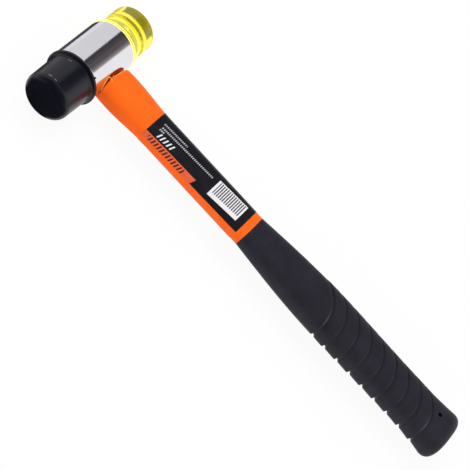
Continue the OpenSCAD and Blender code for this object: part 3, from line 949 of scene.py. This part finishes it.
def drill(piece):
    """Cuts the hang hole through a piece."""
    deep = (grip_high[2] - grip_low[2]) / 2 + HOLE_PAST
    turn = full_turn(HOLE_SIDES)
    rows = [points_at(hole_x + r * np.cos(turn), hole_y + r * np.sin(turn), hole_z + h)
            for h, r in ((-deep, 0.0), (-deep, HOLE_R), (deep, HOLE_R), (deep, 0.0))]
    cutter = weld(skin("hole_cutter", rows))
    cut = piece.modifiers.new("hang_hole", "BOOLEAN")
    cut.object = cutter
    cut.solver = "EXACT"
    shaped = bpy.data.meshes.new_from_object(piece.evaluated_get(bpy.context.evaluated_depsgraph_get()))
    piece.modifiers.clear()
    piece.data = shaped
    bpy.data.objects.remove(cutter)


grip = skin("grip", grip_rings())
mark_ribs(grip)
weld(grip)
drill(grip)
grip.data.set_sharp_from_angle(angle=SHARP_ANGLE)
settle(grip, GRIP_RUBBER, "hammer", "grip_rubber", "grip_sleeve")
print("grip faces:", len(grip.data.polygons))

# %% [markdown]
# ## The label
# A thin printed film wraps the neck from one side of the front edge round the back to the other. The film
# is a sheet of its own, a fraction of a millimetre proud of the jacket, so its edges show as on a real
# one. Its map has one unit for 100 mm: across, the distance from the back line, and along, the distance
# down the label.

# %% Label film
LABEL_GAP = 0.03
LABEL_T = 0.15
LABEL_FROM = math.radians(-142)
LABEL_TO_TOP = math.radians(171)
LABEL_TO_END = math.radians(163)
LABEL_ROWS = 90
LABEL_COLUMNS = 160
MAP_MM = 100.0
MAP_BACK = 0.5


def label_angles(share):
    """Angles of the columns, at a share of the label's length."""
    return np.linspace(LABEL_FROM, LABEL_TO_TOP + (LABEL_TO_END - LABEL_TO_TOP) * share, LABEL_COLUMNS + 1)


def label_ring(share, lift):
    angles = label_angles(share)
    s = LABEL_AT + (LABEL_END - LABEL_AT) * share
    half = jacket_half(np.full(angles.shape, s))
    x, z = oval(half, angles)
    out_x, out_z = oval_normal(half, angles)
    return on_handle(x + out_x * lift, z + out_z * lift, s)


def distance_round(angles):
    """Distance round the neck from the back line to each angle, in millimetres."""
    x, z = oval(np.broadcast_to(NECK, (len(angles), 2)), angles)
    length = np.concatenate([[0.0], np.cumsum(np.hypot(np.diff(x), np.diff(z)))])
    return length - np.interp(0.0, angles, length)


shares = np.linspace(0.0, 1.0, LABEL_ROWS)
label = skin("label", [label_ring(share, LABEL_GAP) for share in shares], closed=False)
round_mm = np.array([distance_round(label_angles(share)) for share in shares])
print_map = label.data.uv_layers.new(name="print")
for corner, loop in zip(print_map.data, label.data.loops):
    row, column = divmod(loop.vertex_index, LABEL_COLUMNS + 1)
    corner.uv = (MAP_BACK + round_mm[row, column] / MAP_MM, (LABEL_END - LABEL_AT) * shares[row] / MAP_MM)
film = label.modifiers.new("film", "SOLIDIFY")
film.thickness = LABEL_T * MM
film.offset = 1.0
print(f"label is {np.ptp(round_mm):.1f} mm round and {LABEL_END - LABEL_AT:.1f} mm long")

# %% [markdown]
# ## The print on the label
# The film is satin black with a coral panel beside the front edge, a pale patch with dark bars, and a few
# fine rules. Each of these is a box in the label's own millimetres, so one small group draws them all: it
# gives 1 inside a box with a slanted end and 0 outside. The film was stuck on a little askew, so each box
# also has a drift, the distance that it moves sideways for each millimetre down.

# %% Print box
print_box, entry, leave = new_group(
    "print_box", {"Across": 0.0, "Down": 0.0, "From": 0.0, "To": 1.0, "Top": 0.0, "Bottom": 1.0, "Slant": 0.0,
                  "Drift": 0.0, "Softness": 0.1}, ["Inside"])
given = entry.outputs
straight = maths(print_box, "MULTIPLY_ADD", given["Down"], given["Drift"], given["Across"])
from_side = maths(print_box, "SUBTRACT", straight, given["From"])
leaned = maths(print_box, "SUBTRACT", given["Down"], maths(print_box, "MULTIPLY", from_side, given["Slant"]))
softness = given["Softness"]
below_edge = maths(print_box, "MULTIPLY", softness, -1.0)


def soft_side(value, limit):
    """1 where value is past limit, with a soft edge."""
    return spread(print_box, maths(print_box, "SUBTRACT", value, limit), below_edge, softness)


inside = soft_side(straight, given["From"])
for value, limit in ((given["To"], straight), (given["Down"], given["Top"]), (given["Bottom"], leaned)):
    inside = maths(print_box, "MULTIPLY", inside, soft_side(value, limit))
fill(print_box, leave, Inside=inside)

# %% Printed film
INK = (0.009, 0.009, 0.012, 1)
PALE_INK = (0.013, 0.013, 0.017, 1)
CORAL = (0.74, 0.125, 0.05, 1)
PALE = (0.78, 0.76, 0.78, 1)
RULE = (0.45, 0.45, 0.47, 1)
TICK = (0.10, 0.015, 0.01, 1)
BAR = (0.04, 0.04, 0.045, 1)
SOLID = (1.0, 2.0, 0.0)
DASHES = (1.3, 0.55, 0.2)
TICK_EDGE = 0.04
# Each line: its colour, its box, and the pitch, share and lean of its ticks
PRINTS = [
    (CORAL, {"From": 26.3, "To": 36.0, "Top": -1.0, "Bottom": 41.5, "Slant": -0.35, "Drift": 0.02}, SOLID),
    (TICK, {"From": 27.0, "To": 30.9, "Top": 3.5, "Bottom": 32.8, "Drift": 0.02}, (2.4, 0.45, 0.35)),
    (RULE, {"From": 14.7, "To": 16.0, "Top": 5.0, "Bottom": 23.8, "Drift": 0.045}, DASHES),
    (RULE, {"From": 17.8, "To": 19.1, "Top": 5.6, "Bottom": 47.1, "Drift": 0.045}, DASHES),
    (RULE, {"From": 20.0, "To": 21.2, "Top": 5.0, "Bottom": 9.0, "Drift": 0.045}, DASHES),
    (PALE, {"From": 22.0, "To": 25.4, "Top": 7.2, "Bottom": 19.7, "Drift": 0.045}, (2.5, 0.36, 0.35)),
    (PALE, {"From": 16.45, "To": 29.45, "Top": 51.4, "Bottom": 74.4, "Drift": 0.065}, SOLID),
    (BAR, {"From": 17.1, "To": 26.9, "Top": 53.0, "Bottom": 73.2, "Drift": 0.065}, (1.5, 0.5, 0.0)),
]


def printed_film():
    material, tree, shader = new_finish("printed_film")
    marks = use(tree, handling_marks, Smudge_size=5.0, Scratch_size=12.0)
    skin_marks = use(tree, moulded_skin, Grain_size=0.6, Cloud_size=8.0)
    uv = axes(tree, put(tree, "ShaderNodeUVMap", {"uv_map": "print"}).outputs["UV"])
    from_back = maths(tree, "MULTIPLY", maths(tree, "SUBTRACT", uv["X"], MAP_BACK), MAP_MM)
    across = maths(tree, "ABSOLUTE", from_back)
    down = maths(tree, "MULTIPLY", uv["Y"], MAP_MM)
    colour = blend_colours(tree, skin_marks["Cloud"], INK, PALE_INK)
    for ink, box, (pitch, share, lean) in PRINTS:
        place_along = maths(tree, "MULTIPLY_ADD", across, lean, down)
        phase = maths(tree, "FRACT", maths(tree, "DIVIDE", place_along, pitch))
        from_middle = maths(tree, "ABSOLUTE", maths(tree, "SUBTRACT", phase, 0.5))
        tick = spread(tree, from_middle, share / 2 - TICK_EDGE, share / 2 + TICK_EDGE, 1.0, 0.0)
        inside = use(tree, print_box, Across=across, Down=down, **box)["Inside"]
        colour = blend_colours(tree, maths(tree, "MULTIPLY", tick, inside), colour, ink)
    fill(tree, shader, Base_Color=colour, Roughness=rougher(tree, marks["Smudge"], base=0.30, more=0.12),
         Normal=bump(tree, skin_marks["Grain"], depth_mm=0.01), Specular_IOR_Level=0.12)
    return material


settle(label, printed_film(), "hammer", "label", "label_film")

# %% [markdown]
# ## The clear face
# The yellow face is turned like a spool: a flange against the barrel, a cove, a slim waist and a striking
# head. Its outline is a list of corners, each with its own rounding, and a helper swings arcs into them.
# It is made as one clear body right up to the stud, because a thin gap of air in glass would shine like a
# mirror.

# %% Turned outlines
TURN_STEPS = 180
ARC_STEPS = 8
SUPPORT = 0.25
STRAIGHT = 3.0


def unit(vector):
    return vector / np.linalg.norm(vector)


def rounded(corners):
    """Points of an outline from corners (height, radius, rounding)."""
    points = [np.array(corner[:2], dtype=float) for corner in corners]
    outline = [points[0]]
    for before, corner, after, given in zip(points, points[1:], points[2:], corners[1:]):
        back, ahead = unit(before - corner), unit(after - corner)
        half_angle = math.acos(np.clip(back @ ahead, -1.0, 1.0)) / 2
        centre = corner + unit(back + ahead) * given[2] / math.sin(half_angle)
        reach = given[2] / math.tan(half_angle)
        start, end = corner + back * reach - centre, corner + ahead * reach - centre
        for share in np.linspace(0.0, 1.0, ARC_STEPS + 1):
            outline.append(centre + unit(start + (end - start) * share) * given[2])
    outline.append(points[-1])
    return outline


def supported(outline):
    """Adds points near the ends of straight stretches, so that smooth shading stays flat on them."""
    full = [outline[0]]
    for first, second in zip(outline, outline[1:]):
        length = np.linalg.norm(second - first)
        if length > 3 * SUPPORT:
            last = length - SUPPORT
            stops = np.concatenate([[SUPPORT], np.arange(STRAIGHT, last, STRAIGHT), [last]])
            full.extend(first + (second - first) * stop / length for stop in stops)
        full.append(second)
    return np.array(full)


def turned(name, outline, seat):
    """Turns an outline of heights above a seat and radii about the head axis."""
    turn = full_turn(TURN_STEPS)
    rows = [points_at(seat + h, HEAD[1] + r * np.cos(turn), HEAD[2] + r * np.sin(turn)) for h, r in outline]
    return weld(skin(name, rows))


print("turned pieces have", TURN_STEPS, "steps round")


# %% Clear face
FLANGE_T = 1.8
FLANGE_EDGE = 0.4
RECESS_R = 9.3
RECESS_T = 1.4
RECESS_EDGE = 0.15
WAIST_R = 14.2
HEAD_R = 15.1
HEAD_LEN = 11.5
HEAD_EDGE = 2.0
COVE = 2.4
SHOULDER_LEN = 1.35
SHOULDER_ROUND = 1.2
plastic_len = plastic_high[0] - plastic_low[0]
plastic_flange = (plastic_high[2] - plastic_low[2]) / 2
head_at = plastic_len - HEAD_LEN
clear_outline = supported(rounded([
    (RECESS_T, 0.0, 0.0),
    (RECESS_T, RECESS_R, RECESS_EDGE),
    (0.0, RECESS_R, RECESS_EDGE),
    (0.0, plastic_flange, FLANGE_EDGE),
    (FLANGE_T, plastic_flange, FLANGE_EDGE),
    (FLANGE_T, WAIST_R, COVE),
    (head_at - SHOULDER_LEN, WAIST_R, SHOULDER_ROUND),
    (head_at, HEAD_R, SHOULDER_ROUND),
    (plastic_len, HEAD_R, HEAD_EDGE),
    (plastic_len, 0.0, 0.0),
]))
clear_face = turned("clear_face", clear_outline, plastic_low[0])
settle(clear_face, YELLOW, "plastic_face", "yellow_plastic", "plastic_face")
print("clear face:", len(clear_face.data.polygons), "faces")

# %% [markdown]
# ## Small marks on the rubber face
# Rubber keeps traces of how it was made. This face has a small pip on the rim of its flange, where the
# mould was filled. Three short pale threads on its skin are painted glints, highlights drawn in pale rubber.
# Each thread lies half sunk in the rubber, so the helper that made the flash makes these too.

# %% Pip and painted glints
PIP_R = 0.6
PIP_HALF = 0.9
PIP_Z = 14.4
PIP_S = 10.47
GLINT_POINTS = 6
# Painted glints: height above the seat, distance from the axis, from and to which angle, and thickness
GLINT_STRANDS = [(22.45, 15.42, 58, 70, 0.28), (22.9, 15.4, 76, 84, 0.22), (4.7, 15.68, 58, 73, 0.20)]
pip_line = on_handle(np.array([-PIP_HALF, 0.0, PIP_HALF]) - BARREL_HALF, PIP_Z, PIP_S)
settle(strand("moulding_pip", pip_line, PIP_R), FACE_RUBBER, "rubber_face", "face_rubber")
for index, (height, reach, turn_from, turn_to, thick) in enumerate(GLINT_STRANDS):
    turn = np.radians(np.linspace(turn_from, turn_to, GLINT_POINTS))
    glint_line = on_handle(-BARREL_HALF - height, reach * np.sin(turn), -reach * np.cos(turn))
    settle(strand(f"painted_glint_{index + 1}", glint_line, thick), PAINTED_GLINT, "rubber_face", "face_rubber")


# %% [markdown]
# ## The studio
# The floor is plain and pale, and the world is white to the camera and to glass. Metal sees a soft change
# from white on the handle's side to light grey behind the head, so the two flanks of the barrel differ. A
# real studio does that with paper and distance. Here the kind of ray decides, which needs no extra lamps.

# %% Floor
FLOOR_SIZE = 6.0
FLOOR_TONE = (0.86, 0.86, 0.87, 1)
FLOOR_COVER = 0.93


def stage_plane(name, corners, material):
    """A flat piece of the studio."""
    mesh = bpy.data.meshes.new(name)
    mesh.from_pydata([tuple(corner) for corner in corners], [], [(0, 1, 2, 3)])
    mesh.materials.append(material)
    piece = bpy.data.objects.new(name, mesh)
    bpy.context.scene.collection.objects.link(piece)
    return piece


def seen_ray(tree, *kinds):
    """1 for rays of any of these kinds."""
    path = put(tree, "ShaderNodeLightPath")
    result = 0.0
    for kind in kinds:
        result = maths(tree, "MAXIMUM", result, path.outputs[f"Is {kind} Ray"])
    return result


def floor_finish():
    """A pale floor that the camera, reflections and glass see as nearly white."""
    material, tree, shader = new_finish("studio_floor")
    fill(tree, shader, Base_Color=FLOOR_TONE, Roughness=0.9, Specular_IOR_Level=0.1)
    white = put(tree, "ShaderNodeEmission", Strength=1.0)
    cover = maths(tree, "MULTIPLY", seen_ray(tree, "Camera", "Glossy", "Transmission"), FLOOR_COVER)
    both = blend_shaders(tree, cover, shader.outputs["BSDF"], white.outputs["Emission"])
    fill(tree, tree.nodes["Material Output"], Surface=both)
    return material


half_floor = FLOOR_SIZE / 2
stage_plane("floor", [(-half_floor, -half_floor, 0), (half_floor, -half_floor, 0),
                      (half_floor, half_floor, 0), (-half_floor, half_floor, 0)], floor_finish())
print("floor of", FLOOR_SIZE, "m")

# %% World
AMBIENT = 0.7
AMBIENT_TONE = (0.97, 0.98, 1.0, 1)
BEHIND = 0.78
# Where the change from white to light grey starts and ends, as the y of a direction
CHANGE_FROM = -0.35
CHANGE_TO = 0.15
world = bpy.data.worlds.new("studio")
bpy.context.scene.world = world
world.use_nodes = True
sky = world.node_tree
sky.nodes.clear()
way = axes(sky, put(sky, "ShaderNodeTexCoord").outputs["Generated"])
mirrored = spread(sky, way["Y"], CHANGE_FROM, CHANGE_TO, 1.0, BEHIND)
bright = maths(sky, "MAXIMUM", mirrored, seen_ray(sky, "Camera", "Transmission"))
soft = put(sky, "ShaderNodeBackground", Color=AMBIENT_TONE, Strength=AMBIENT)
white = put(sky, "ShaderNodeBackground", Color=(1, 1, 1, 1), Strength=bright)
seen = seen_ray(sky, "Camera", "Glossy", "Transmission")
put(sky, "ShaderNodeOutputWorld", Surface=blend_shaders(sky, seen, soft.outputs[0], white.outputs[0]))
print("ambient light", AMBIENT)

# %% [markdown]
# ## Two lamps
# A large soft lamp high beyond the head gives the main light, and a weaker one, lower and on the rubber
# face's side, fills the shadows. Reflections do not see them, because a bright disc in the chrome would
# look like a sticker.

# %% Lamps
LAMP_AIM = Vector((0.0, 0.0, 0.0))


def lamp(name, place, size, power):
    """A round lamp that shines on the middle of the hammer."""
    light = bpy.data.lights.new(name, "AREA")
    light.shape = "DISK"
    light.size = size
    light.energy = power
    piece = bpy.data.objects.new(name, light)
    piece.location = place
    piece.rotation_euler = (LAMP_AIM - Vector(place)).to_track_quat("-Z", "Y").to_euler()
    piece.visible_camera = False
    piece.visible_glossy = False
    bpy.context.scene.collection.objects.link(piece)
    print(name, "lamp of", power, "W")


lamp("key", (0.35, 0.40, 1.10), size=0.7, power=6.5)
lamp("fill", (-0.75, -0.35, 0.55), size=0.8, power=2.4)

# %% [markdown]
# ## Cards for the reflections
# Chrome without anything dark to mirror looks like plain white paint. So a dark card hangs on the far
# side of the head, a dusky strip and a grey sheet lie on the floor behind it, and dark mats lie under and
# in front of the rubber face, with a dark screen standing at their far edge. Only reflections see these.
# One more card is the shade on the floor below the head. It is seen only through the clear face, whose
# end mirrors it inside, so that the far rim of the face turns olive.

# %% Making a card
DARK = (0.03, 0.03, 0.034, 1)
DUSK = (0.072, 0.068, 0.082, 1)
GREY = (0.78, 0.775, 0.80, 1)
SHADE = (0.13, 0.13, 0.12, 1)
STREAK_SCALE = 9.0
STREAK_DIM = 0.75
STREAK_BRIGHT = 1.2


def card_finish(name, tones, along):
    """A card that glows faintly in tones given along one of its axes, with soft streaks."""
    material, tree, shader = new_finish(name)
    tree.nodes.remove(shader)
    here = axes(tree, put(tree, "ShaderNodeTexCoord").outputs["Generated"])[along]
    streaks = noise(tree, detail=2.0, options=ON_A_LINE, W=here, Scale=STREAK_SCALE)
    strength = spread(tree, streaks, *NOISE_RANGE, STREAK_DIM, STREAK_BRIGHT)
    glow = put(tree, "ShaderNodeEmission", Color=graded(tree, here, tones), Strength=strength)
    fill(tree, tree.nodes["Material Output"], Surface=glow.outputs["Emission"])
    return material


def hidden_card(name, corners, tones, seen_by="glossy", along="Y"):
    """A card that only one kind of ray sees."""
    card = stage_plane(name, corners, card_finish(name, tones, along))
    for ray in ("camera", "diffuse", "glossy", "transmission", "shadow", "volume_scatter"):
        setattr(card, "visible_" + ray, ray == seen_by)
    print(name, "reaches from", [round(v, 3) for v in corners[0]], "to", [round(v, 3) for v in corners[2]])


def floor_card(name, x_from, x_to, y_from, y_to, lift, tone, seen_by="glossy"):
    """A card on the floor, with its sides measured in millimetres from the head axis."""
    x_low, x_high, y_low, y_high = HEAD[0] + x_from, HEAD[0] + x_to, HEAD[1] + y_from, HEAD[1] + y_to
    corners = [Vector((x, y, lift)) * MM
               for x, y in ((x_low, y_low), (x_high, y_low), (x_high, y_high), (x_low, y_high))]
    hidden_card(name, corners, ((0.0, tone), (1.0, tone)), seen_by)


# %% Standing cards
CARD_WAY = Vector((0.642, -0.211, 0.736)).normalized()
CARD_FAR = 0.8
CARD_WIDE = 0.71
CARD_TALL = 1.8
CARD_TONES = (
    (0.0, (0.66, 0.62, 0.62, 1)), (0.12, (0.25, 0.22, 0.22, 1)), (0.34, (0.12, 0.105, 0.105, 1)),
    (0.62, (0.085, 0.078, 0.080, 1)), (0.84, (0.048, 0.043, 0.050, 1)), (0.93, (0.075, 0.070, 0.080, 1)),
    (1.0, (0.45, 0.44, 0.47, 1)),
)
# The screen's lower and upper edge in x and z, and half its width, in metres
SCREEN_LOW = (-0.26, 0.0005)
SCREEN_HIGH = (-0.22, 0.72)
SCREEN_HALF = 0.55
SCREEN_TONES = ((0.0, DARK), (0.75, DARK), (0.90, (0.16, 0.16, 0.17, 1)), (1.0, (0.55, 0.55, 0.57, 1)))
card_middle = Vector(HEAD * MM) + CARD_WAY * CARD_FAR
card_side = (Vector((0, 1, 0)) - CARD_WAY * CARD_WAY.y).normalized()
card_up = CARD_WAY.cross(card_side)
hidden_card("far_card", [
    card_middle + card_side * CARD_WIDE / 2 * a + card_up * CARD_TALL / 2 * b
    for a, b in ((-1, -1), (1, -1), (1, 1), (-1, 1))], CARD_TONES)
hidden_card("screen_in_front", [
    Vector((x, HEAD[1] * MM + side * SCREEN_HALF, z))
    for side, (x, z) in ((-1, SCREEN_LOW), (1, SCREEN_LOW), (1, SCREEN_HIGH), (-1, SCREEN_HIGH))],
    SCREEN_TONES, along="Z")


# %% Cards on the floor
floor_card("strip_behind", x_from=-30, x_to=90, y_from=12, y_to=57, lift=0.5, tone=DUSK)
floor_card("grey_behind", x_from=-1500, x_to=1500, y_from=57, y_to=2500, lift=0.4, tone=GREY)
floor_card("mat_in_front", x_from=-262, x_to=-49, y_from=-130, y_to=130, lift=0.3, tone=DARK)
floor_card("mat_under_face", x_from=-49, x_to=-20, y_from=-8, y_to=20, lift=0.3, tone=DARK)
floor_card("shade_below", x_from=-60, x_to=34, y_from=-0.2, y_to=3.4, lift=0.3, tone=SHADE,
           seen_by="transmission")

# %% [markdown]
# ## The camera
# The picture was taken from above and in front of the rubber face, with the camera rolled so that the
# handle runs down to the right. An aim point, a distance, two angles and a roll say that in words a
# photographer would use.

# %% Camera
CAMERA_AIM = Vector((-8.54, 12.68, 17.8)) * MM
CAMERA_FAR = 0.9989
CAMERA_AZIMUTH = math.radians(266.40)
CAMERA_ELEVATION = math.radians(49.945)
CAMERA_ROLL = math.radians(49.89)
CAMERA_LENS = 130.13
SENSOR = 36.0
level = math.cos(CAMERA_ELEVATION)
looking = Vector((
    -math.sin(CAMERA_AZIMUTH) * level, math.cos(CAMERA_AZIMUTH) * level, -math.sin(CAMERA_ELEVATION)))
camera_data = bpy.data.cameras.new("camera")
camera_data.lens = CAMERA_LENS
camera_data.sensor_width = SENSOR
camera_data.sensor_fit = "HORIZONTAL"
camera = bpy.data.objects.new("camera", camera_data)
camera.location = CAMERA_AIM - looking * CAMERA_FAR
upright = looking.to_track_quat("-Z", "Y")
camera.rotation_mode = "QUATERNION"
camera.rotation_quaternion = upright @ Quaternion((0, 0, 1), CAMERA_ROLL)
bpy.context.scene.collection.objects.link(camera)
bpy.context.scene.camera = camera
print("camera at", [round(v, 3) for v in camera.location])
